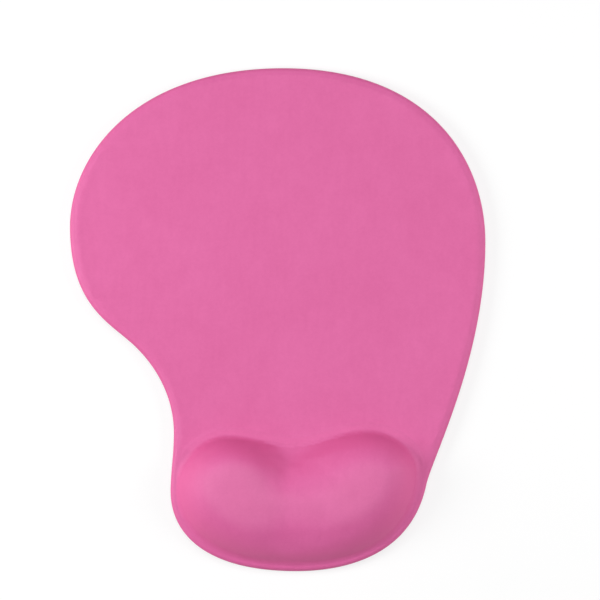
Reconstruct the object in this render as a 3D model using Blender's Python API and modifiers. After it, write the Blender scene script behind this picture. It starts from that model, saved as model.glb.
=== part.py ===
"""Mouse pad with a built-in two-lobed gel wrist rest, as a stack of separate layers.

Metres, +Z up. The origin is on the underside, in the middle of the pad's outline.
+X is the user's right and +Y points away from the user. The gel wrist rest is at -Y.
"""
import math

import bmesh
import bpy
import numpy as np
from mathutils import Vector
from mathutils.geometry import delaunay_2d_cdt

MM = 0.001

# The layers' thicknesses, from the table up
GAP = 0.3 * MM
BASE_THICK = 1.2 * MM
BASE_BOND_THICK = 0.15 * MM
FOAM_THICK = 1.65 * MM
COVER_BOND_THICK = 0.15 * MM
COVER_THICK = 0.65 * MM
POUCH_THICK = 0.25 * MM

# Heights of the layers' faces
BASE_BOND_Z = BASE_THICK + GAP
CORE_Z = BASE_BOND_Z + BASE_BOND_THICK + GAP
COVER_BOND_Z = CORE_Z + FOAM_THICK + GAP
FLAT_TOP = COVER_BOND_Z + COVER_BOND_THICK + GAP + COVER_THICK
GEL_Z = CORE_Z + POUCH_THICK + GAP

# Depths below the cover's outer face, measured square to it
COVER_BOND_DEPTH = COVER_THICK + GAP
POUCH_DEPTH = COVER_BOND_DEPTH + COVER_BOND_THICK + GAP
GEL_DEPTH = POUCH_DEPTH + POUCH_THICK + GAP

# The rolled edge of the cover and what stays clear of it
ROLL_WIDTH = 3.0 * MM
EDGE_HEIGHT = 2.6 * MM
HEM_WIDTH = 2.4 * MM
BASE_INSET = 0.3 * MM
ROLL_DEGREES = (25, 50, 72, 90)
CURL_DEGREES = (45, 90)

# The wrist rest: its rise over the flat, its middle, and how wide its walls are in plan
REST_RISE = 16.0 * MM
REST_MIDDLE_X = 8.0 * MM
REST_HALF_WIDTH = 54.0 * MM
MOUSE_SIDE_SLOPE = 14.0 * MM
USER_SIDE_SLOPE = 20.0 * MM
END_SLOPE_EXTRA = 6.5 * MM
SLOPE_CHANGE_Y = (-104.0 * MM, -62.0 * MM)
SLOPE_POWER = 2.0
SLOPE_ROUNDING = 0.62

# The crown falls away from its crest, and the valley parts the two lobes on the mouse's side
CREST_Y = -74.0 * MM
CROWN_REACH = 24.0 * MM
CROWN_DROP = 0.12
END_DROP = 0.22
VALLEY_X = 5.5 * MM
VALLEY_LEFT = 13.0 * MM
VALLEY_RIGHT = 24.0 * MM
VALLEY_DROP = 0.62
VALLEY_FADE_Y = (-84.0 * MM, -56.0 * MM)
WAIST_DROP = 0.17

# The gel pouch
POUCH_FLANGE = 4.0 * MM
FLANGE_BLEND = (-0.8 * MM, 1.2 * MM)
GEL_INSET = 1.6 * MM

# Closed outlines: x, y, heading in degrees, length of the handle before and after, in mm
PAD_KNOTS = (
    (2.5, 115.0, 180, 67.5, 68.5),
    (-95.0, 42.5, 270, 32.0, 36.0),
    (-66.0, -11.5, 317, 15.0, 15.5),
    (-47.5, -53.0, 269, 16.5, 10.0),
    (-49.0, -77.0, 268, 11.0, 20.5),
    (8.5, -115.0, 0, 42.0, 19.5),
    (68.0, -75.5, 78, 35.0, 12.5),
    (95.0, 35.5, 90, 52.5, 37.5),
)
REST_KNOTS = (
    (41.0, -51.5, 180, 10.0, 12.0),
    (6.5, -57.5, 180, 11.0, 10.0),
    (-23.0, -54.0, 180, 9.0, 13.0),
    (-45.0, -77.0, 270, 11.0, 21.0),
    (8.0, -110.5, 0, 31.5, 40.0),
    (63.0, -69.0, 90, 21.0, 10.0),
)
PAD_POINTS = 112
REST_POINTS = 84
CURVE_STEPS = 24

# Rings round the wrist rest's foot, as distances inside it, and the grid within them
REST_RINGS = (-1.6 * MM, 0.0, 0.9 * MM, 2.2 * MM, 4.2 * MM, 7.2 * MM, 11.2 * MM, 15.8 * MM)
GEL_RINGS = REST_RINGS[3:]
RING_TO_EDGE = 0.2 * MM
CROWDED = 0.6 * MM
GRID_SPACING = 6.0 * MM
GRID_TO_RING = 3.6 * MM
WELD_DISTANCE = 0.01 * MM

# Most that a vertex in a crease may move, as a multiple of the layer's depth
LONGEST_SINK = 2.0

PINK = (0.75, 0.15, 0.38, 1.0)
COLOURS = {
    "fabric_cover": (PINK, 0.9),
    "cover_bond_film": ((0.85, 0.82, 0.75, 1.0), 0.5),
    "foam_core": ((0.08, 0.08, 0.08, 1.0), 0.95),
    "gel_pouch_top_film": ((0.80, 0.86, 0.90, 1.0), 0.25),
    "gel_fill": ((0.55, 0.75, 0.90, 1.0), 0.15),
    "gel_pouch_bottom_film": ((0.80, 0.86, 0.90, 1.0), 0.25),
    "base_bond_film": ((0.85, 0.82, 0.75, 1.0), 0.5),
    "base_sheet": ((0.03, 0.03, 0.03, 1.0), 0.8),
}


def clear_scene():
    for obj in list(bpy.data.objects):
        bpy.data.objects.remove(obj, do_unlink=True)


def make_collection(name):
    collection = bpy.data.collections.new(name)
    bpy.context.scene.collection.children.link(collection)
    return collection


def make_material(name):
    colour, roughness = COLOURS[name]
    material = bpy.data.materials.new(name)
    material.use_nodes = True
    shader = material.node_tree.nodes["Principled BSDF"]
    shader.inputs["Base Color"].default_value = colour
    shader.inputs["Roughness"].default_value = roughness
    shader.inputs["Metallic"].default_value = 0.0
    return material


# ---- plane curves -------------------------------------------------------------------


def bezier_loop(knots, count):
    """Evenly spaced points along a closed Bezier curve, anticlockwise."""
    dense = []
    steps = np.linspace(0.0, 1.0, CURVE_STEPS, endpoint=False)[:, None]
    for index, knot in enumerate(knots):
        following = knots[(index + 1) % len(knots)]
        start = np.array(knot[:2])
        end = np.array(following[:2])
        leave = math.radians(knot[2])
        arrive = math.radians(following[2])
        first = start + knot[4] * np.array((math.cos(leave), math.sin(leave)))
        second = end - following[3] * np.array((math.cos(arrive), math.sin(arrive)))
        dense.append((1 - steps) ** 3 * start + 3 * (1 - steps) ** 2 * steps * first
                     + 3 * (1 - steps) * steps ** 2 * second + steps ** 3 * end)
    return even_loop(np.concatenate(dense) * MM, count)


def even_loop(points, count):
    closed = np.vstack((points, points[:1]))
    travel = np.concatenate(((0.0,), np.cumsum(np.linalg.norm(np.diff(closed, axis=0), axis=1))))
    wanted = np.linspace(0.0, travel[-1], count, endpoint=False)
    return np.column_stack([np.interp(wanted, travel, closed[:, axis]) for axis in (0, 1)])


def loop_normals(loop):
    """Unit normals that point out of an anticlockwise loop."""
    along = np.roll(loop, -1, axis=0) - np.roll(loop, 1, axis=0)
    along /= np.linalg.norm(along, axis=1)[:, None]
    return np.column_stack((along[:, 1], -along[:, 0]))


def inset(loop, distance):
    return loop - loop_normals(loop) * np.asarray(distance).reshape(-1, 1)


def depth_inside(points, loop):
    """Distance from each point to the loop, positive inside it."""
    start = loop
    side = np.roll(loop, -1, axis=0) - loop
    rel = points[:, None, :] - start[None, :, :]
    share = np.clip((rel * side).sum(axis=2) / (side ** 2).sum(axis=1), 0.0, 1.0)
    nearest = np.linalg.norm(rel - share[:, :, None] * side, axis=2).min(axis=1)
    end = start + side
    above = points[:, None, 1] >= start[None, :, 1]
    crosses = above != (points[:, None, 1] >= end[None, :, 1])
    rise = np.where(side[:, 1] == 0.0, 1.0, side[:, 1])
    cross_x = start[:, 0] + rel[:, :, 1] / rise * side[:, 0]
    inside = (crosses & (points[:, None, 0] < cross_x)).sum(axis=1) % 2 == 1
    return np.where(inside, nearest, -nearest)


# ---- the wrist rest's shape ---------------------------------------------------------


def smooth_step(value, low, high):
    share = np.clip((value - low) / (high - low), 0.0, 1.0)
    return share * share * (3.0 - 2.0 * share)


def rest_rise(points, foot):
    """Height of the wrist rest over the flat of the pad."""
    x, y = points[:, 0], points[:, 1]
    slope = USER_SIDE_SLOPE + (MOUSE_SIDE_SLOPE - USER_SIDE_SLOPE) * smooth_step(y, *SLOPE_CHANGE_Y)
    slope += END_SLOPE_EXTRA * ((x - REST_MIDDLE_X) / REST_HALF_WIDTH) ** 2
    share = np.clip(depth_inside(points, foot) / slope, 0.0, 1.0)
    wall = (1.0 - (1.0 - share) ** SLOPE_POWER) ** SLOPE_ROUNDING
    reach = np.where(x < VALLEY_X, VALLEY_LEFT, VALLEY_RIGHT)
    dip = np.exp(-((x - VALLEY_X) / reach) ** 2)
    dip *= WAIST_DROP + VALLEY_DROP * smooth_step(y, *VALLEY_FADE_Y)
    crown = 1.0 - CROWN_DROP * ((y - CREST_Y) / CROWN_REACH) ** 2
    crown -= END_DROP * ((x - REST_MIDDLE_X) / REST_HALF_WIDTH) ** 2
    return REST_RISE * wall * (1.0 - dip) * crown


def spread_out(points, fixed):
    """The fixed points, and each other point that crowds neither them nor an earlier one."""
    kept = list(fixed)
    for point in points:
        if np.linalg.norm(np.array(kept) - point, axis=1).min() > CROWDED:
            kept.append(point)
    return np.array(kept)


def top_points(edge, foot, rings):
    """Points of a top surface: its edge first, then rings round the foot, then a grid."""
    sets = []
    for distance in rings:
        ring = inset(foot, distance)
        sets.append(ring[depth_inside(ring, edge) > RING_TO_EDGE])
    low = foot.min(axis=0)
    high = foot.max(axis=0)
    across = np.arange(low[0], high[0], GRID_SPACING)
    deep = np.arange(low[1], high[1], GRID_SPACING)
    grid = np.array([(x, y) for x in across for y in deep])
    sets.append(grid[depth_inside(grid, foot) > rings[-1] + GRID_TO_RING])
    return spread_out(np.vstack(sets), edge)


def top_surface(edge, foot, rings=REST_RINGS):
    """Open triangulated surface over the loop `edge`, raised over the wrist rest."""
    points = top_points(edge, foot, rings)
    border = [(i, (i + 1) % len(edge)) for i in range(len(edge))]
    flat, _, faces, *_ = delaunay_2d_cdt([Vector(p) for p in points], border,
                                         [list(range(len(edge)))], 1, 1e-7)
    plan = np.array([tuple(v) for v in flat])
    heights = FLAT_TOP + rest_rise(plan, foot)
    surface = bmesh.new()
    verts = [surface.verts.new((p[0], p[1], z)) for p, z in zip(plan, heights)]
    for face in faces:
        surface.faces.new([verts[i] for i in face])
    surface.normal_update()
    return surface


def sink(surface, depth):
    """Moves a surface down, square to its faces."""
    moves = [vert.normal * depth * min(vert.calc_shell_factor(), LONGEST_SINK)
             for vert in surface.verts]
    for vert, move in zip(surface.verts, moves):
        vert.co -= move
    surface.normal_update()


# ---- objects ------------------------------------------------------------------------


def add_object(name, mesh_or_curve, collection):
    obj = bpy.data.objects.new(name, mesh_or_curve)
    collection.objects.link(obj)
    return obj


def surface_object(name, surface, collection):
    mesh = bpy.data.meshes.new(name)
    surface.to_mesh(mesh)
    surface.free()
    mesh.shade_smooth()
    return add_object(name, mesh, collection)


def add_thickness(obj, thickness):
    """Thickens an open surface downwards from its outer face."""
    solidify = obj.modifiers.new("thickness", "SOLIDIFY")
    solidify.thickness = thickness
    solidify.offset = -1.0
    solidify.use_even_offset = True


def flat_sheet(name, loop, bottom, thickness, collection):
    """A flat sheet of even thickness with the given outline."""
    curve = bpy.data.curves.new(name, "CURVE")
    curve.dimensions = "2D"
    curve.fill_mode = "BOTH"
    curve.extrude = thickness / 2
    spline = curve.splines.new("POLY")
    spline.points.add(len(loop) - 1)
    for point, (x, y) in zip(spline.points, loop):
        point.co = (x, y, 0.0, 1.0)
    spline.use_cyclic_u = True
    obj = add_object(name, curve, collection)
    obj.location.z = bottom + thickness / 2
    return obj


def as_mesh(obj, collection):
    """Replaces a curve object by a welded mesh object of the same name and place."""
    bpy.context.view_layer.update()
    evaluated = obj.evaluated_get(bpy.context.evaluated_depsgraph_get())
    mesh = bpy.data.meshes.new_from_object(evaluated)
    welded = bmesh.new()
    welded.from_mesh(mesh)
    bmesh.ops.remove_doubles(welded, verts=welded.verts, dist=WELD_DISTANCE)
    welded.to_mesh(mesh)
    welded.free()
    name = obj.name
    place = obj.matrix_world.copy()
    bpy.data.objects.remove(obj, do_unlink=True)
    solid = add_object(name, mesh, collection)
    solid.matrix_world = place
    return solid


# ---- the pieces ---------------------------------------------------------------------


def edge_profile():
    """Depth and height of the rings that take the cover from its flat top to its hem."""
    rings = []
    drop = FLAT_TOP - EDGE_HEIGHT
    for degrees in ROLL_DEGREES:
        angle = math.radians(degrees)
        rings.append((ROLL_WIDTH * (1.0 - math.sin(angle)), EDGE_HEIGHT + drop * math.cos(angle)))
    under = EDGE_HEIGHT - CORE_Z
    for degrees in CURL_DEGREES:
        angle = math.radians(degrees)
        rings.append((under * (1.0 - math.cos(angle)), EDGE_HEIGHT - under * math.sin(angle)))
    rings.append((HEM_WIDTH, CORE_Z))
    return rings


def build_fabric_cover(pad, foot, collection):
    """The knitted skin: over the top, round the edge and a little way under."""
    edge = inset(pad, ROLL_WIDTH)
    surface = top_surface(edge, foot)
    surface.verts.ensure_lookup_table()
    above = [surface.verts[i] for i in range(len(pad))]
    for depth, height in edge_profile():
        ring = [surface.verts.new((x, y, height)) for x, y in inset(pad, depth)]
        for i in range(len(pad)):
            after = (i + 1) % len(pad)
            surface.faces.new((above[i], ring[i], ring[after], above[after]))
        above = ring
    surface.normal_update()
    add_thickness(surface_object("fabric_cover", surface, collection), COVER_THICK)


def build_cover_bond_film(pad, foot, collection):
    """The film of hot-melt adhesive that holds the cover to the foam and the pouch."""
    surface = top_surface(inset(pad, ROLL_WIDTH), foot)
    sink(surface, COVER_BOND_DEPTH)
    obj = surface_object("cover_bond_film", surface, collection)
    add_thickness(obj, COVER_BOND_THICK)


def pouch_edge(pad, foot):
    """Outline of the pouch's weld flange, kept clear of the cover's hem."""
    room = depth_inside(foot, pad) - ROLL_WIDTH
    return inset(foot, -np.minimum(POUCH_FLANGE, room))


def build_foam_core(pad, pouch, collection, cutters):
    """The soft sheet under the flat of the pad, cut away for the gel pouch."""
    sheet = flat_sheet("foam_core", inset(pad, ROLL_WIDTH), CORE_Z, FOAM_THICK, collection)
    window = flat_sheet("pouch_window_cutter", inset(pouch, -GAP), 0.0, 2 * COVER_BOND_Z, cutters)
    window = as_mesh(window, cutters)
    window.hide_render = True
    window.display_type = "WIRE"
    cut = as_mesh(sheet, collection).modifiers.new("pouch_window", "BOOLEAN")
    cut.operation = "DIFFERENCE"
    cut.solver = "EXACT"
    cut.object = window


def build_pouch_top_film(foot, pouch, collection):
    """The domed upper film of the gel pouch, with its flat weld flange."""
    surface = top_surface(pouch, foot)
    sink(surface, POUCH_DEPTH)
    flange_top = GEL_Z + POUCH_THICK
    for vert in surface.verts:
        depth = depth_inside(np.array([vert.co.xy]), foot)[0]
        share = smooth_step(depth, *FLANGE_BLEND)
        vert.co.z = flange_top + share * (vert.co.z - flange_top)
    surface.normal_update()
    obj = surface_object("gel_pouch_top_film", surface, collection)
    add_thickness(obj, POUCH_THICK)


def build_gel_fill(foot, collection):
    """The gel itself: two lobes joined across the valley, flat underneath."""
    surface = top_surface(inset(foot, GEL_INSET), foot, GEL_RINGS)
    sink(surface, GEL_DEPTH)
    base = bmesh.ops.extrude_face_region(surface, geom=surface.faces[:])
    lower = [item for item in base["geom"] if isinstance(item, bmesh.types.BMVert)]
    for vert in lower:
        vert.co.z = GEL_Z
    bmesh.ops.recalc_face_normals(surface, faces=surface.faces)
    surface_object("gel_fill", surface, collection)


def build_base(pad, collection):
    """The non-slip sheet on the table, and the film that bonds it to the rest."""
    flat_sheet("base_sheet", inset(pad, BASE_INSET), 0.0, BASE_THICK, collection)
    flat_sheet("base_bond_film", inset(pad, 2 * BASE_INSET), BASE_BOND_Z, BASE_BOND_THICK, collection)


def build():
    clear_scene()
    parts = make_collection("gel_mouse_pad")
    cutters = make_collection("cutters")
    pad = bezier_loop(PAD_KNOTS, PAD_POINTS)
    foot = bezier_loop(REST_KNOTS, REST_POINTS)
    pouch = pouch_edge(pad, foot)
    build_base(pad, parts)
    flat_sheet("gel_pouch_bottom_film", pouch, CORE_Z, POUCH_THICK, parts)
    build_gel_fill(foot, parts)
    build_pouch_top_film(foot, pouch, parts)
    build_foam_core(pad, pouch, parts, cutters)
    build_cover_bond_film(pad, foot, parts)
    build_fabric_cover(pad, foot, parts)
    for obj in parts.objects:
        obj.data.materials.append(make_material(obj.name))


build()
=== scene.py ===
import math

import bmesh
import bpy
import numpy as np
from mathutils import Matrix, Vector
from mathutils.geometry import delaunay_2d_cdt
from mathutils.kdtree import KDTree


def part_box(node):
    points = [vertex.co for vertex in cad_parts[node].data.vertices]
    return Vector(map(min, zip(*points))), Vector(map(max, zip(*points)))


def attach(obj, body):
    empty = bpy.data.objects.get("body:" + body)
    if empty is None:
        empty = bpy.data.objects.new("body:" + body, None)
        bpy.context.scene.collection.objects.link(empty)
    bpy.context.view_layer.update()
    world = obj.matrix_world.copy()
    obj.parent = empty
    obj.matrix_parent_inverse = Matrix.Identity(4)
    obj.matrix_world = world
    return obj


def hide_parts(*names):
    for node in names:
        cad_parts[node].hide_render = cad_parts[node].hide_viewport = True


# Looks for the gel mouse pad: the layers in fine shapes, their materials, light and camera.
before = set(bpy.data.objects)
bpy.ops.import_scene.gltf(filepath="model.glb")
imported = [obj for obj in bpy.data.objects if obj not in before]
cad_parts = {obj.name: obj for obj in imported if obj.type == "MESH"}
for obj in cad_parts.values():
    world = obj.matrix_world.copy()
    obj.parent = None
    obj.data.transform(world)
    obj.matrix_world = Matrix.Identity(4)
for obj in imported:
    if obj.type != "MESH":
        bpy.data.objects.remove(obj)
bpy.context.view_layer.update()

MM = 0.001
BODY = "root"
QUARTER_TURN = 90.0

# Heights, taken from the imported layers. The hem lies on the base's adhesive film and the base under it.
COVER_THICK = 0.65 * MM
FOAM_TO_TOP = 1.4 * MM
FLAT_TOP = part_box("foam_core")[1][2] + FOAM_TO_TOP
LAID_GAP = 0.03 * MM
HEM_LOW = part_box("base_bond_film")[1][2] + LAID_GAP
BASE_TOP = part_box("base_bond_film")[0][2] - LAID_GAP
REST_RISE = 16.0 * MM

# The rolled edge, and the faint rim just inside it
ROLL_WIDTH = 3.0 * MM
EDGE_HEIGHT = 2.6 * MM
HEM_WIDTH = 2.4 * MM
ROLL_STEPS = 12
UNDER_STEPS = 4
RIM_HEIGHT = 0.25 * MM
RIM_PLACE = 3.6 * MM
RIM_WIDTH = 2.0 * MM
RIM_FADE = (3.0 * MM, 9.0 * MM)

# The wrist rest: a rise inside its foot with a valley across it, and the pouch's flange as a step round it
VALLEY_X = 5.5 * MM
VALLEY_LEFT = 13.0 * MM
VALLEY_RIGHT = 24.0 * MM
VALLEY_DROP = 0.62
WAIST_DROP = 0.17
VALLEY_FADE_Y = (-84.0 * MM, -56.0 * MM)
CREST_Y = -74.0 * MM
CROWN_DROP = 0.12
END_DROP = 0.22
CROWN_REACH = 24.0 * MM
REST_MIDDLE_X = 8.0 * MM
REST_HALF_WIDTH = 54.0 * MM
END_SLOPE_EXTRA = 6.5 * MM
MOUSE_SIDE_SLOPE = 14.0 * MM
USER_SIDE_SLOPE = 20.0 * MM
SLOPE_CHANGE_Y = (-104.0 * MM, -62.0 * MM)
SLOPE_POWER = 2.0
SLOPE_ROUNDING = 0.62
CREASE_RADIUS = 0.5 * MM
FLANGE_STEP = 0.3 * MM
FLANGE_EDGE = (-4.9 * MM, -3.7 * MM)
FLANGE_FADE = 2.0 * MM

# Closed outlines: x, y, heading in degrees, length of the handle before and after, in mm
PAD_KNOTS = (
    (2.5, 115.0, 180, 67.5, 68.5),
    (-95.0, 42.5, 270, 32.0, 36.0),
    (-66.0, -11.5, 317, 15.0, 15.5),
    (-47.5, -53.0, 269, 16.5, 10.0),
    (-49.0, -77.0, 268, 11.0, 20.5),
    (8.5, -115.0, 0, 42.0, 19.5),
    (68.0, -75.5, 78, 35.0, 12.5),
    (95.0, 35.5, 90, 52.5, 37.5),
)
REST_KNOTS = (
    (41.0, -51.5, 180, 10.0, 12.0),
    (6.5, -57.5, 180, 11.0, 10.0),
    (-23.0, -54.0, 180, 9.0, 13.0),
    (-45.0, -77.0, 270, 11.0, 21.0),
    (8.0, -110.5, 0, 31.5, 40.0),
    (63.0, -69.0, 90, 21.0, 10.0),
)
PAD_POINTS = 560
REST_POINTS = 300
CURVE_STEPS = 200
POINTS_AT_ONCE = 2000

# How the top is meshed: rings round the rest's foot, kept clear of the grids by a share of their spacing
FLAT_SPACING = 2.2 * MM
REST_SPACING = 1.3 * MM
REST_RINGS = [step * 0.5 * MM for step in range(-11, 8)]
RING_CLEARANCE = 0.6
EDGE_CLEARANCE = 0.5 * MM
MERGE_DISTANCE = 1e-7

# The base sheet: rounded edges, and shallow grooves underneath that part it into lozenges
BASE_INSET = 0.3 * MM
BASE_ROUNDING = 0.4 * MM
ROUNDING_STEPS = 4
BASE_SHARP_ANGLE = 20.0
GROOVE_PITCH = 5.0 * MM
GROOVE_WIDTH = 1.2 * MM
GROOVE_DEPTH = 0.4 * MM
GROOVE_MARGIN = 3.5 * MM
LOZENGE_REACH = 60

# The layers under the cover: their depths below its outer face, and the pouch's flat welded flange.
# Where a surface bends, a point sinks further to keep the depth, at most LONGEST_SINK times as far.
BOND_THICK = 0.15 * MM
POUCH_THICK = 0.25 * MM
BOND_DEPTH = 0.95 * MM
POUCH_DEPTH = 1.40 * MM
GEL_DEPTH = 1.95 * MM
GEL_INSET = 1.6 * MM
GEL_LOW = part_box("gel_fill")[0][2]
POUCH_FLANGE = 4.0 * MM
FLANGE_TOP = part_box("gel_pouch_top_film")[0][2] + POUCH_THICK
FLANGE_BLEND = (-0.8 * MM, 1.2 * MM)
LONGEST_SINK = 2.0
GEL_SHARP_ANGLE = 60.0

# The swelling of the gel under its skin: a coarse body, held near the flat, for a cloth simulation.
# Each point of the cover then takes its move from its nearest neighbours on that body.
SWELL_POINTS = 96
SWELL_SPACING = 4.5 * MM
SWELL_INSET = 0.4 * MM
SWELL_DEPTH = 1.0 * MM
HELD_HEIGHT = 0.6 * MM
SWELL_FRAMES = 20
SWELL_PRESSURE = 4.0
SKIN_MASS = 0.05
SKIN_STIFFNESS = 1.0
SKIN_BENDING = 0.05
CLOTH_QUALITY = 6
SWELL_CAP = 0.8 * MM
SWELL_FADE = 6.0 * MM
NEIGHBOURS = 8
NEIGHBOUR_EASE = 1.0 * MM
TINY = 1e-9

# The knit's colours, with a painted highlight that pales it over the gel and painted shade that deepens it
# on slopes (heights and tilt of the normal)
KNIT_DARK = (0.685, 0.108, 0.318)
KNIT_LIGHT = (0.775, 0.150, 0.395)
# Painted highlight: a paler pink mixed into the knit between these heights above the flat
HIGHLIGHT_PINK = (0.90, 0.55, 0.66, 1.0)
HIGHLIGHT_HEIGHTS = (11.5 * MM, 15.0 * MM)
HIGHLIGHT_SHARE = 0.06
# Painted shade: a deeper pink mixed into the knit as the normal's Z falls from TILT_FLAT to TILT_STEEP
SHADE_PINK = (0.68, 0.080, 0.26, 1.0)
TILT_FLAT = 0.97
TILT_STEEP = 0.65
SHADE_SHARE = 0.45

# The camera looks straight down. Sizes are in metres, the sensor in Blender's millimetres
FRAME_WIDTH = 0.2744
CAMERA_HEIGHT = 0.85
CAMERA_AIM = (10.2 * MM, 9.0 * MM)
SENSOR = 36.0
NEAR_CLIP = 0.01

# The floor, and the room: dim as a light, pale where the camera sees it
FLOOR_SIZE = 3.0
FLOOR_DROP = 0.2 * MM
WHITE = (1.0, 1.0, 1.0, 1.0)
ROOM_LIGHT = 0.15
BACKDROP_LIGHT = 0.85

# Soft lights: name, azimuth and elevation in degrees, distance and size in metres, power in watts
LIGHTS = (
    ("left", 180.0, 30.0, 0.9, 0.4, 5.8),
    ("right", 0.0, 30.0, 0.9, 0.4, 3.1),
    ("far", 90.0, 62.0, 1.2, 0.7, 2.9),
    ("top", 0.0, 88.0, 1.4, 1.0, 4.1),
)


# ---- plane curves -------------------------------------------------------------------


def bezier_loop(knots, count):
    """Evenly spaced points along a closed Bezier curve, anticlockwise."""
    dense = []
    steps = np.linspace(0.0, 1.0, CURVE_STEPS, endpoint=False)[:, None]
    for index, knot in enumerate(knots):
        following = knots[(index + 1) % len(knots)]
        start = np.array(knot[:2])
        end = np.array(following[:2])
        leave = math.radians(knot[2])
        arrive = math.radians(following[2])
        first = start + knot[4] * np.array((math.cos(leave), math.sin(leave)))
        second = end - following[3] * np.array((math.cos(arrive), math.sin(arrive)))
        dense.append((1 - steps) ** 3 * start + 3 * (1 - steps) ** 2 * steps * first
                     + 3 * (1 - steps) * steps ** 2 * second + steps ** 3 * end)
    return even_loop(np.concatenate(dense) * MM, count)


def even_loop(points, count):
    """Evenly spaced points along a closed line of dense ones."""
    closed = np.vstack((points, points[:1]))
    travel = np.concatenate(((0.0,), np.cumsum(np.linalg.norm(np.diff(closed, axis=0), axis=1))))
    wanted = np.linspace(0.0, travel[-1], count, endpoint=False)
    return np.column_stack([np.interp(wanted, travel, closed[:, axis]) for axis in (0, 1)])


def loop_normals(loop):
    """Unit normals that point out of an anticlockwise loop."""
    along = np.roll(loop, -1, axis=0) - np.roll(loop, 1, axis=0)
    along /= np.linalg.norm(along, axis=1)[:, None]
    return np.column_stack((along[:, 1], -along[:, 0]))


def inset(loop, distance):
    """The loop moved inwards by one distance, or by one for each of its points."""
    return loop - loop_normals(loop) * np.asarray(distance).reshape(-1, 1)


def depth_inside(points, loop):
    """Distance from each point to the loop, positive inside it."""
    starts = range(0, len(points), POINTS_AT_ONCE)
    return np.concatenate([depth_of_few(points[i:i + POINTS_AT_ONCE], loop) for i in starts])


def depth_of_few(points, loop):
    """The same for a few points at once, which keeps the tables small."""
    start = loop
    side = np.roll(loop, -1, axis=0) - loop
    rel = points[:, None, :] - start[None, :, :]
    share = np.clip((rel * side).sum(axis=2) / (side ** 2).sum(axis=1), 0.0, 1.0)
    nearest = np.linalg.norm(rel - share[:, :, None] * side, axis=2).min(axis=1)
    end = start + side
    above = points[:, None, 1] >= start[None, :, 1]
    crosses = above != (points[:, None, 1] >= end[None, :, 1])
    rise = np.where(side[:, 1] == 0.0, 1.0, side[:, 1])
    cross_x = start[:, 0] + rel[:, :, 1] / rise * side[:, 0]
    inside = (crosses & (points[:, None, 0] < cross_x)).sum(axis=1) % 2 == 1
    return np.where(inside, nearest, -nearest)


def smooth_step(value, low, high):
    """Rises smoothly from 0 at `low` to 1 at `high`."""
    share = np.clip((value - low) / (high - low), 0.0, 1.0)
    return share * share * (3.0 - 2.0 * share)


PAD = bezier_loop(PAD_KNOTS, PAD_POINTS)
FOOT = bezier_loop(REST_KNOTS, REST_POINTS)


# ---- the cover's shape --------------------------------------------------------------


def rest_rise(points):
    """Height of the wrist rest over the flat of the pad."""
    x, y = points[:, 0], points[:, 1]
    slope = USER_SIDE_SLOPE + (MOUSE_SIDE_SLOPE - USER_SIDE_SLOPE) * smooth_step(y, *SLOPE_CHANGE_Y)
    slope += END_SLOPE_EXTRA * ((x - REST_MIDDLE_X) / REST_HALF_WIDTH) ** 2
    depth = depth_inside(points, FOOT)
    eased = CREASE_RADIUS * np.logaddexp(0.0, depth / CREASE_RADIUS)
    share = np.clip(eased / slope, 0.0, 1.0)
    wall = (1.0 - (1.0 - share) ** SLOPE_POWER) ** SLOPE_ROUNDING
    reach = np.where(x < VALLEY_X, VALLEY_LEFT, VALLEY_RIGHT)
    dip = np.exp(-((x - VALLEY_X) / reach) ** 2)
    dip *= WAIST_DROP + VALLEY_DROP * smooth_step(y, *VALLEY_FADE_Y)
    crown = 1.0 - CROWN_DROP * ((y - CREST_Y) / CROWN_REACH) ** 2
    crown -= END_DROP * ((x - REST_MIDDLE_X) / REST_HALF_WIDTH) ** 2
    return REST_RISE * wall * (1.0 - dip) * crown


def rim_and_flange(points):
    """The faint raised rim inside the edge and the pouch's flange under the cloth."""
    from_edge = depth_inside(points, PAD)
    from_foot = depth_inside(points, FOOT)
    clear = smooth_step(-from_foot, *RIM_FADE)
    rim = RIM_HEIGHT * np.exp(-((from_edge - RIM_PLACE) / RIM_WIDTH) ** 2) * clear
    flange = FLANGE_STEP * smooth_step(from_foot, *FLANGE_EDGE)
    flange *= smooth_step(from_edge, ROLL_WIDTH, ROLL_WIDTH + FLANGE_FADE) * (from_foot < 0.0)
    return rim + flange


def hex_grid(low, high, spacing):
    """Points of an even triangular grid between two corners."""
    rows = np.arange(low[1], high[1], spacing * math.sqrt(3.0) / 2.0)
    shift = [(row, 0.5 * spacing * (index % 2)) for index, row in enumerate(rows)]
    return np.array([(x + move, row) for row, move in shift
                     for x in np.arange(low[0], high[0], spacing)])


def triangulate(edge, points, lines=()):
    """Delaunay triangles that fill the loop `edge`, through the other points and lines."""
    count = len(edge)
    border = [(i, (i + 1) % count) for i in range(count)]
    border += [(count + first, count + last) for first, last in lines]
    every = [Vector(p) for p in np.vstack((edge, points))]
    inner = [list(range(count))]
    flat, _, faces, *_ = delaunay_2d_cdt(every, border, inner, 1, MERGE_DISTANCE)
    return np.array([tuple(v) for v in flat]), faces


def top_plan(edge):
    """Points of the top: rings round the wrist rest's foot, and an even grid elsewhere."""
    rings = np.vstack([inset(FOOT, distance) for distance in REST_RINGS])
    rest = hex_grid(FOOT.min(axis=0), FOOT.max(axis=0), REST_SPACING)
    rest = rest[depth_inside(rest, FOOT) > REST_RINGS[-1] + RING_CLEARANCE * REST_SPACING]
    flat = hex_grid(edge.min(axis=0), edge.max(axis=0), FLAT_SPACING)
    flat = flat[depth_inside(flat, FOOT) < REST_RINGS[0] - RING_CLEARANCE * FLAT_SPACING]
    points = np.vstack((rings, rest, flat))
    return points[depth_inside(points, edge) > EDGE_CLEARANCE]


def quarter_turn(steps, first=1):
    """Angles in even steps through a quarter turn."""
    return [math.radians(QUARTER_TURN * step / steps) for step in range(first, steps + 1)]


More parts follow.
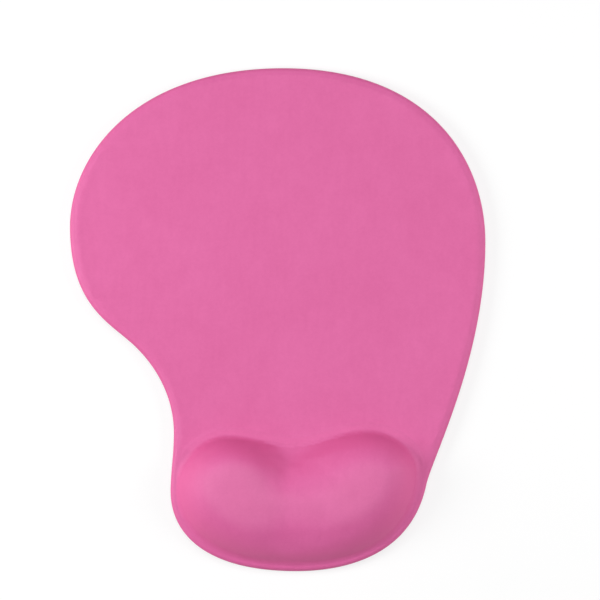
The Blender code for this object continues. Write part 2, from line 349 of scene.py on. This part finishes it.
def edge_profile():
    """Depth and height of the rings from the flat top round the edge to the hem."""
    rings = []
    drop = FLAT_TOP - EDGE_HEIGHT
    for angle in quarter_turn(ROLL_STEPS):
        rings.append((ROLL_WIDTH * (1.0 - math.sin(angle)), EDGE_HEIGHT + drop * math.cos(angle)))
    under = EDGE_HEIGHT - HEM_LOW
    for angle in quarter_turn(UNDER_STEPS):
        rings.append((under * (1.0 - math.cos(angle)), EDGE_HEIGHT - under * math.sin(angle)))
    rings.append((HEM_WIDTH, HEM_LOW))
    return rings


def new_surface(spots, faces):
    """A surface through the spots, with its vertices in the same order."""
    surface = bmesh.new()
    verts = [surface.verts.new(spot) for spot in spots]
    for face in faces:
        surface.faces.new([verts[i] for i in face])
    return surface, verts


def add_rings(surface, ring, profile, upward=False):
    """Carries a surface on from a ring of its vertices through the rings of a profile."""
    for depth, height in profile:
        following = [surface.verts.new((x, y, height)) for x, y in inset(PAD, depth)]
        for i in range(PAD_POINTS):
            after = (i + 1) % PAD_POINTS
            corners = (ring[i], following[i], following[after], ring[after])
            surface.faces.new(corners[::-1] if upward else corners)
        ring = following
    return ring


def cover_surface(swell):
    """The cover's outer face, from the top to the end of its hem."""
    edge = inset(PAD, ROLL_WIDTH)
    plan, faces = triangulate(edge, top_plan(edge))
    heights = FLAT_TOP + rest_rise(plan) + rim_and_flange(plan)
    spots = np.column_stack((plan, heights))
    spots += swell(spots)
    surface, verts = new_surface(spots, faces)
    add_rings(surface, verts[:PAD_POINTS], edge_profile())
    surface.normal_update()
    return surface


# ---- how the gel swells its skin ----------------------------------------------------


def close_below(surface, height):
    """Closes an open surface with a wall down to a flat face at some height."""
    lower = bmesh.ops.extrude_face_region(surface, geom=surface.faces[:])["geom"]
    for item in lower:
        if isinstance(item, bmesh.types.BMVert):
            item.co.z = height
    bmesh.ops.recalc_face_normals(surface, faces=surface.faces)


def swelling_body():
    """A coarse closed body of the wrist rest, for the simulation."""
    edge = inset(bezier_loop(REST_KNOTS, SWELL_POINTS), SWELL_INSET)
    grid = hex_grid(edge.min(axis=0), edge.max(axis=0), SWELL_SPACING)
    grid = grid[depth_inside(grid, edge) > 0.5 * SWELL_SPACING]
    plan, faces = triangulate(edge, grid)
    body, _ = new_surface(np.column_stack((plan, FLAT_TOP + rest_rise(plan))), faces)
    close_below(body, FLAT_TOP - SWELL_DEPTH)
    mesh = bpy.data.meshes.new("swelling_body")
    body.to_mesh(mesh)
    body.free()
    return bpy.data.objects.new("swelling_body", mesh)


def run_cloth(body):
    """Lets pressure push the body's skin out for a few frames."""
    held = body.vertex_groups.new(name="held")
    low = FLAT_TOP + HELD_HEIGHT
    held.add([v.index for v in body.data.vertices if v.co.z < low], 1.0, "REPLACE")
    cloth = body.modifiers.new("swell", "CLOTH")
    settings = cloth.settings
    settings.vertex_group_mass = "held"
    settings.use_pressure = True
    settings.uniform_pressure_force = SWELL_PRESSURE
    settings.effector_weights.gravity = 0.0
    settings.mass = SKIN_MASS
    settings.tension_stiffness = SKIN_STIFFNESS
    settings.compression_stiffness = SKIN_STIFFNESS
    settings.shear_stiffness = SKIN_STIFFNESS
    settings.bending_stiffness = SKIN_BENDING
    settings.quality = CLOTH_QUALITY
    cloth.point_cache.frame_start = 1
    cloth.point_cache.frame_end = SWELL_FRAMES
    scene = bpy.context.scene
    for number in range(1, SWELL_FRAMES + 1):
        scene.frame_set(number)
    shape = body.evaluated_get(bpy.context.evaluated_depsgraph_get()).to_mesh()
    after = np.array([tuple(v.co) for v in shape.vertices])
    scene.frame_set(1)
    return after


def simulate_swell():
    """Runs the cloth simulation and returns a function that gives each point its move."""
    body = swelling_body()
    bpy.context.scene.collection.objects.link(body)
    before = np.array([tuple(v.co) for v in body.data.vertices])
    moves = run_cloth(body) - before
    bpy.data.objects.remove(body, do_unlink=True)
    length = np.linalg.norm(moves, axis=1)
    moves *= np.minimum(1.0, SWELL_CAP / np.maximum(length, TINY))[:, None]
    tree = KDTree(len(before))
    for index, spot in enumerate(before):
        tree.insert(spot, index)
    tree.balance()

    def move_of(spots):
        given = np.zeros_like(spots)
        depth = depth_inside(spots[:, :2], FOOT)
        for index in np.nonzero(depth > 0.0)[0]:
            near = tree.find_n(spots[index], NEIGHBOURS)
            weight = np.array([1.0 / (distance + NEIGHBOUR_EASE) ** 2 for _, _, distance in near])
            rows = moves[[found for _, found, _ in near]]
            given[index] = (rows * weight[:, None]).sum(axis=0) / weight.sum()
        return given * smooth_step(depth, 0.0, SWELL_FADE)[:, None]

    return move_of


# ---- objects ------------------------------------------------------------------------


def add_surface(name, surface, material):
    """Makes a smooth object of a surface."""
    mesh = bpy.data.meshes.new(name)
    surface.to_mesh(mesh)
    surface.free()
    mesh.shade_smooth()
    obj = bpy.data.objects.new(name, mesh)
    bpy.context.scene.collection.objects.link(obj)
    mesh.materials.append(material)
    return obj


def add_thickness(piece, thickness):
    """Gives a surface its thickness, inwards from its outer face."""
    solidify = piece.modifiers.new("thickness", "SOLIDIFY")
    solidify.thickness = thickness
    solidify.offset = -1.0


def stand_for(piece, node):
    """Puts the piece in the place of a packed layer."""
    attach(piece, BODY)
    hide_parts(node)


def make_cover(material):
    """The pink knit, swollen over the gel and turned under at the edge."""
    cover = add_surface("knitted_cover", cover_surface(simulate_swell()), material)
    add_thickness(cover, COVER_THICK)
    stand_for(cover, "fabric_cover")


# ---- the layers under the cover -----------------------------------------------------


def layer_surface(edge, depth):
    """Open surface inside `edge` that follows the cover's outer face at some depth."""
    plan, faces = triangulate(edge, top_plan(edge))
    surface, _ = new_surface(np.column_stack((plan, FLAT_TOP + rest_rise(plan))), faces)
    surface.normal_update()
    moves = [vert.normal * depth * min(vert.calc_shell_factor(), LONGEST_SINK)
             for vert in surface.verts]
    for vert, move in zip(surface.verts, moves):
        vert.co -= move
    surface.normal_update()
    return surface


def make_bond_film(material):
    """The milky film that glues the knit to the foam and to the pouch."""
    surface = layer_surface(inset(PAD, ROLL_WIDTH), BOND_DEPTH)
    film = add_surface("hot_melt_sheet", surface, material)
    add_thickness(film, BOND_THICK)
    stand_for(film, "cover_bond_film")


def make_pouch_top(material):
    """The domed clear film over the gel, flat where it is welded round the foot."""
    room = depth_inside(FOOT, PAD) - ROLL_WIDTH
    surface = layer_surface(inset(FOOT, -np.minimum(POUCH_FLANGE, room)), POUCH_DEPTH)
    spots = np.array([tuple(vert.co.xy) for vert in surface.verts])
    shares = smooth_step(depth_inside(spots, FOOT), *FLANGE_BLEND)
    for vert, share in zip(surface.verts, shares):
        vert.co.z = FLANGE_TOP + share * (vert.co.z - FLANGE_TOP)
    surface.normal_update()
    film = add_surface("pouch_dome", surface, material)
    add_thickness(film, POUCH_THICK)
    stand_for(film, "gel_pouch_top_film")


def make_gel(material):
    """The gel: two lobes joined across the valley, flat underneath."""
    surface = layer_surface(inset(FOOT, GEL_INSET), GEL_DEPTH)
    close_below(surface, GEL_LOW)
    gel = add_surface("gel_lobes", surface, material)
    gel.data.set_sharp_from_angle(angle=math.radians(GEL_SHARP_ANGLE))
    stand_for(gel, "gel_fill")


# ---- the base sheet -----------------------------------------------------------------


def place_key(x, y):
    """One key for all spots within a thousandth of a millimetre."""
    return round(x / MM, 3), round(y / MM, 3)


def lozenge_pattern():
    """Corners of the lozenges and of the lattice between them, with the lines that join them."""
    half = 0.5 * GROOVE_PITCH
    land = half - 0.5 * GROOVE_WIDTH * math.sqrt(2.0)
    reach = range(-LOZENGE_REACH, LOZENGE_REACH + 1)
    spots = np.array([((i - j) * half, (i + j) * half) for i in reach for j in reach])
    keep = depth_inside(spots, PAD) > GROOVE_MARGIN + half
    points = []
    lines = []
    place = {}
    for x, y in spots[keep]:
        for size, height in ((land, 0.0), (half, GROOVE_DEPTH)):
            corners = []
            for along, across in ((size, 0.0), (0.0, size), (-size, 0.0), (0.0, -size)):
                key = place_key(x + along, y + across)
                if key not in place:
                    place[key] = len(points)
                    points.append((x + along, y + across, height))
                corners.append(place[key])
            lines += zip(corners, corners[1:] + corners[:1])
    return np.array(points), sorted(set(tuple(sorted(line)) for line in lines))


def base_profile():
    """Depth and height of the rings that take the base from its underside to its top."""
    rings = []
    for angle in quarter_turn(ROUNDING_STEPS):
        rings.append((BASE_INSET + BASE_ROUNDING * (1.0 - math.sin(angle)),
                      BASE_ROUNDING * (1.0 - math.cos(angle))))
    for angle in quarter_turn(ROUNDING_STEPS, 0):
        rings.append((BASE_INSET + BASE_ROUNDING * (1.0 - math.cos(angle)),
                      BASE_TOP - BASE_ROUNDING * (1.0 - math.sin(angle))))
    return rings


def make_base(material):
    """The dark non-slip sheet, its underside grooved into lozenges."""
    edge = inset(PAD, BASE_INSET + BASE_ROUNDING)
    pattern, lines = lozenge_pattern()
    plan, faces = triangulate(edge, pattern[:, :2], lines)
    heights = {place_key(x, y): height for x, y, height in pattern}
    spots = [(x, y, heights.get(place_key(x, y), 0.0)) for x, y in plan]
    sheet, verts = new_surface(spots, [face[::-1] for face in faces])
    sheet.faces.new(add_rings(sheet, verts[:PAD_POINTS], base_profile(), upward=True))
    sheet.normal_update()
    base = add_surface("nonslip_base", sheet, material)
    base.data.set_sharp_from_angle(angle=math.radians(BASE_SHARP_ANGLE))
    stand_for(base, "base_sheet")


# ---- materials ----------------------------------------------------------------------


class Nodes:
    """Short helpers to wire a node material."""

    def __init__(self, name):
        self.material = bpy.data.materials.new(name)
        self.material.use_nodes = True
        self.tree = self.material.node_tree
        self.shader = self.tree.nodes["Principled BSDF"]

    def add(self, kind):
        return self.tree.nodes.new(kind)

    def join(self, source, target):
        self.tree.links.new(source, target)

    def place(self, scale=(1.0, 1.0, 1.0)):
        """Object coordinates in metres, scaled."""
        coords = self.add("ShaderNodeTexCoord")
        mapping = self.add("ShaderNodeMapping")
        mapping.inputs["Scale"].default_value = scale
        self.join(coords.outputs["Object"], mapping.inputs["Vector"])
        return mapping.outputs["Vector"]

    def noise(self, scale, detail=3.0, roughness=0.5):
        """Cloudy pattern. The scale is how many features lie along a metre on each axis."""
        node = self.add("ShaderNodeTexNoise")
        node.inputs["Scale"].default_value = 1.0
        node.inputs["Detail"].default_value = detail
        node.inputs["Roughness"].default_value = roughness
        self.join(self.place(scale), node.inputs["Vector"])
        return node.outputs["Fac"]

    def wave(self, scale, direction, distortion):
        """Bands across one axis."""
        node = self.add("ShaderNodeTexWave")
        node.wave_type = "BANDS"
        node.bands_direction = direction
        node.inputs["Scale"].default_value = 1.0
        node.inputs["Distortion"].default_value = distortion
        self.join(self.place(scale), node.inputs["Vector"])
        return node.outputs["Fac"]

    def math(self, operation, first, second):
        node = self.add("ShaderNodeMath")
        node.operation = operation
        for slot, value in zip(node.inputs, (first, second)):
            if isinstance(value, (int, float)):
                slot.default_value = value
            else:
                self.join(value, slot)
        return node.outputs["Value"]

    def weighted_sum(self, parts):
        """Adds patterns up, each times its weight."""
        scaled = [self.math("MULTIPLY", pattern, weight) for pattern, weight in parts]
        total = scaled[0]
        for pattern in scaled[1:]:
            total = self.math("ADD", total, pattern)
        return total

    def ramp(self, factor, low, high, low_at=0.0, high_at=1.0):
        """Colour that goes from low to high as the factor does."""
        node = self.add("ShaderNodeValToRGB")
        node.color_ramp.elements[0].position = low_at
        node.color_ramp.elements[0].color = (*low, 1.0)
        node.color_ramp.elements[1].position = high_at
        node.color_ramp.elements[1].color = (*high, 1.0)
        self.join(factor, node.inputs["Fac"])
        return node.outputs["Color"]

    def span(self, factor, low, high):
        """Moves a factor of 0 to 1 to the span from low to high."""
        node = self.add("ShaderNodeMapRange")
        node.inputs["To Min"].default_value = low
        node.inputs["To Max"].default_value = high
        self.join(factor, node.inputs["Value"])
        return node.outputs["Result"]

    def turn_to(self, colour, other, vector, start, end, most):
        """Mixes another colour in, up to `most`, as the vector's Z goes from start to end."""
        split = self.add("ShaderNodeSeparateXYZ")
        self.join(vector, split.inputs["Vector"])
        share = self.add("ShaderNodeMapRange")
        share.interpolation_type = "SMOOTHSTEP"
        share.inputs["From Min"].default_value = start
        share.inputs["From Max"].default_value = end
        share.inputs["To Max"].default_value = most
        self.join(split.outputs["Z"], share.inputs["Value"])
        mix = self.add("ShaderNodeMix")
        mix.data_type = "RGBA"
        self.join(share.outputs["Result"], mix.inputs["Factor"])
        self.join(colour, mix.inputs["A"])
        mix.inputs["B"].default_value = other
        return mix.outputs["Result"]

    def painted_highlight_up(self, colour):
        """Painted highlight: higher up on the wrist rest the knit is mixed paler than on the flat."""
        low, high = (FLAT_TOP + height for height in HIGHLIGHT_HEIGHTS)
        return self.turn_to(colour, HIGHLIGHT_PINK, self.place(), low, high, HIGHLIGHT_SHARE)

    def painted_slope_shade(self, colour):
        """Painted shade: on a slope, where the normal tilts away from straight up, the knit is mixed
        deeper.
        """
        normal = self.add("ShaderNodeNewGeometry").outputs["Normal"]
        return self.turn_to(colour, SHADE_PINK, normal, TILT_FLAT, TILT_STEEP, SHADE_SHARE)

    def bump(self, height, distance):
        node = self.add("ShaderNodeBump")
        node.inputs["Distance"].default_value = distance
        self.join(height, node.inputs["Height"])
        self.join(node.outputs["Normal"], self.shader.inputs["Normal"])

    def set(self, name, value):
        """Sets one input of the shader to a value or to a pattern."""
        socket = self.shader.inputs[name]
        if isinstance(value, (int, float, tuple)):
            socket.default_value = value
        else:
            self.join(value, socket)


def knit_material():
    """Fine matt pink knit: wales and courses, faint streaks and mottling, a soft sheen."""
    n = Nodes("pink_knit")
    wales = n.wave((750.0, 750.0, 750.0), "X", distortion=1.5)
    courses = n.wave((850.0, 850.0, 850.0), "Y", distortion=1.5)
    loops = n.math("MULTIPLY", wales, courses)
    streaks = n.noise((420.0, 90.0, 200.0), detail=2.0)
    mottle = n.noise((110.0, 110.0, 110.0), detail=4.0, roughness=0.6)
    broad = n.noise((22.0, 22.0, 22.0), detail=2.0)
    grain = n.noise((850.0, 1000.0, 900.0), detail=2.0, roughness=0.7)
    tone = n.weighted_sum(((streaks, 0.14), (mottle, 0.32), (broad, 0.26), (grain, 0.30), (loops, 0.08)))
    colour = n.ramp(tone, KNIT_DARK, KNIT_LIGHT, low_at=0.28, high_at=0.78)
    # Base colour: random knit tone, then a painted highlight high on the wrist rest and painted shade on
    # slopes
    n.set("Base Color", n.painted_slope_shade(n.painted_highlight_up(colour)))
    n.set("Roughness", n.span(mottle, 0.50, 0.62))
    n.set("Specular IOR Level", 0.42)
    n.set("Sheen Weight", 0.02)
    n.set("Sheen Roughness", 0.45)
    n.set("Sheen Tint", (1.0, 0.75, 0.88, 1.0))
    n.bump(n.weighted_sum(((loops, 0.7), (mottle, 0.5))), 0.06 * MM)
    return n.material


def clear_material(name, colour, roughness, clear):
    """Slightly cloudy clear plastic, used for the films and the gel."""
    n = Nodes(name)
    cloud = n.noise((60.0, 60.0, 60.0))
    dim = tuple(0.88 * part for part in colour)
    n.set("Base Color", n.ramp(cloud, dim, colour, low_at=0.35, high_at=0.7))
    n.set("Roughness", n.span(cloud, 0.8 * roughness, 1.2 * roughness))
    n.set("Transmission Weight", clear)
    n.bump(n.noise((900.0, 900.0, 900.0), detail=2.0), 0.02 * MM)
    return n.material


def foam_material():
    """Dark grey closed-cell foam."""
    n = Nodes("closed_cell_foam")
    cells = n.add("ShaderNodeTexVoronoi")
    n.join(n.place((1600.0, 1600.0, 1600.0)), cells.inputs["Vector"])
    n.set("Base Color", n.ramp(cells.outputs["Distance"], (0.05, 0.05, 0.055), (0.11, 0.11, 0.12)))
    n.set("Roughness", 0.95)
    n.bump(cells.outputs["Distance"], 0.1 * MM)
    return n.material


def rubber_material():
    """Matt black rubber with a fine grain and a little dust."""
    n = Nodes("dark_rubber")
    grain = n.noise((1500.0, 1500.0, 1500.0))
    dust = n.noise((45.0, 45.0, 45.0), detail=4.0, roughness=0.6)
    dusty = n.ramp(dust, (0.022, 0.022, 0.024), (0.045, 0.044, 0.046), low_at=0.3, high_at=0.75)
    n.set("Base Color", dusty)
    n.set("Roughness", n.span(dust, 0.62, 0.85))
    n.bump(grain, 0.03 * MM)
    return n.material


def floor_material():
    """Matt floor that glows a little, so that it stays pale under the dim room."""
    n = Nodes("pale_floor")
    cloud = n.noise((8.0, 8.0, 8.0), detail=2.0)
    n.set("Base Color", n.ramp(cloud, (0.29, 0.29, 0.29), (0.31, 0.31, 0.31)))
    n.set("Roughness", 0.9)
    n.set("Specular IOR Level", 0.0)
    n.set("Emission Color", WHITE)
    n.set("Emission Strength", 0.70)
    return n.material


# ---- the pieces ---------------------------------------------------------------------


def finish_node(name, material):
    """Gives a CAD layer that stays its material."""
    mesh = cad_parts[name].data
    mesh.materials.clear()
    mesh.materials.append(material)


def make_inner_layers():
    """The layers under the cover: three in finer shapes, three carried over from the CAD."""
    bond = clear_material("hot_melt_film", (0.85, 0.82, 0.75), roughness=0.5, clear=0.2)
    film = clear_material("pouch_film", (0.80, 0.86, 0.90), roughness=0.22, clear=0.6)
    make_bond_film(bond)
    make_pouch_top(film)
    make_gel(clear_material("blue_gel", (0.55, 0.75, 0.90), roughness=0.12, clear=0.7))
    finish_node("base_bond_film", bond)
    finish_node("gel_pouch_bottom_film", film)
    finish_node("foam_core", foam_material())


# ---- stage, light and camera --------------------------------------------------------


def make_floor():
    """Large pale floor, just under the base."""
    sheet = bmesh.new()
    bmesh.ops.create_grid(sheet, x_segments=2, y_segments=2, size=FLOOR_SIZE)
    floor = add_surface("floor", sheet, floor_material())
    floor.location.z = -FLOOR_DROP


def add_area(name, azimuth, elevation, distance, size, power):
    """A round soft light that faces the pad."""
    light = bpy.data.lights.new(name, "AREA")
    light.shape = "DISK"
    light.size = size
    light.energy = power
    lamp = bpy.data.objects.new(name, light)
    turn = math.radians(azimuth)
    lift = math.radians(elevation)
    level = math.cos(lift)
    toward = Vector((math.cos(turn) * level, math.sin(turn) * level, math.sin(lift)))
    lamp.location = toward * distance
    lamp.rotation_euler = toward.to_track_quat("Z", "Y").to_euler()
    bpy.context.scene.collection.objects.link(lamp)


def add_background(tree, strength):
    background = tree.nodes.new("ShaderNodeBackground")
    background.inputs["Color"].default_value = WHITE
    background.inputs["Strength"].default_value = strength
    return background.outputs["Background"]


def make_room():
    """A white room that lights the pad a little and looks pale behind it."""
    world = bpy.data.worlds.new("studio")
    bpy.context.scene.world = world
    world.use_nodes = True
    tree = world.node_tree
    seen = tree.nodes.new("ShaderNodeLightPath")
    mix = tree.nodes.new("ShaderNodeMixShader")
    tree.links.new(seen.outputs["Is Camera Ray"], mix.inputs["Fac"])
    tree.links.new(add_background(tree, ROOM_LIGHT), mix.inputs[1])
    tree.links.new(add_background(tree, BACKDROP_LIGHT), mix.inputs[2])
    tree.links.new(mix.outputs["Shader"], tree.nodes["World Output"].inputs["Surface"])


def make_camera():
    """Looks straight down at the pad."""
    data = bpy.data.cameras.new("camera")
    data.sensor_width = SENSOR
    data.lens = SENSOR * CAMERA_HEIGHT / FRAME_WIDTH
    data.clip_start = NEAR_CLIP
    camera = bpy.data.objects.new("camera", data)
    camera.location = (*CAMERA_AIM, CAMERA_HEIGHT + EDGE_HEIGHT)
    bpy.context.scene.collection.objects.link(camera)
    bpy.context.scene.camera = camera


bpy.context.scene.view_settings.view_transform = "Standard"
make_cover(knit_material())
make_base(rubber_material())
make_inner_layers()
make_floor()
make_room()
for light in LIGHTS:
    add_area(*light)
make_camera()
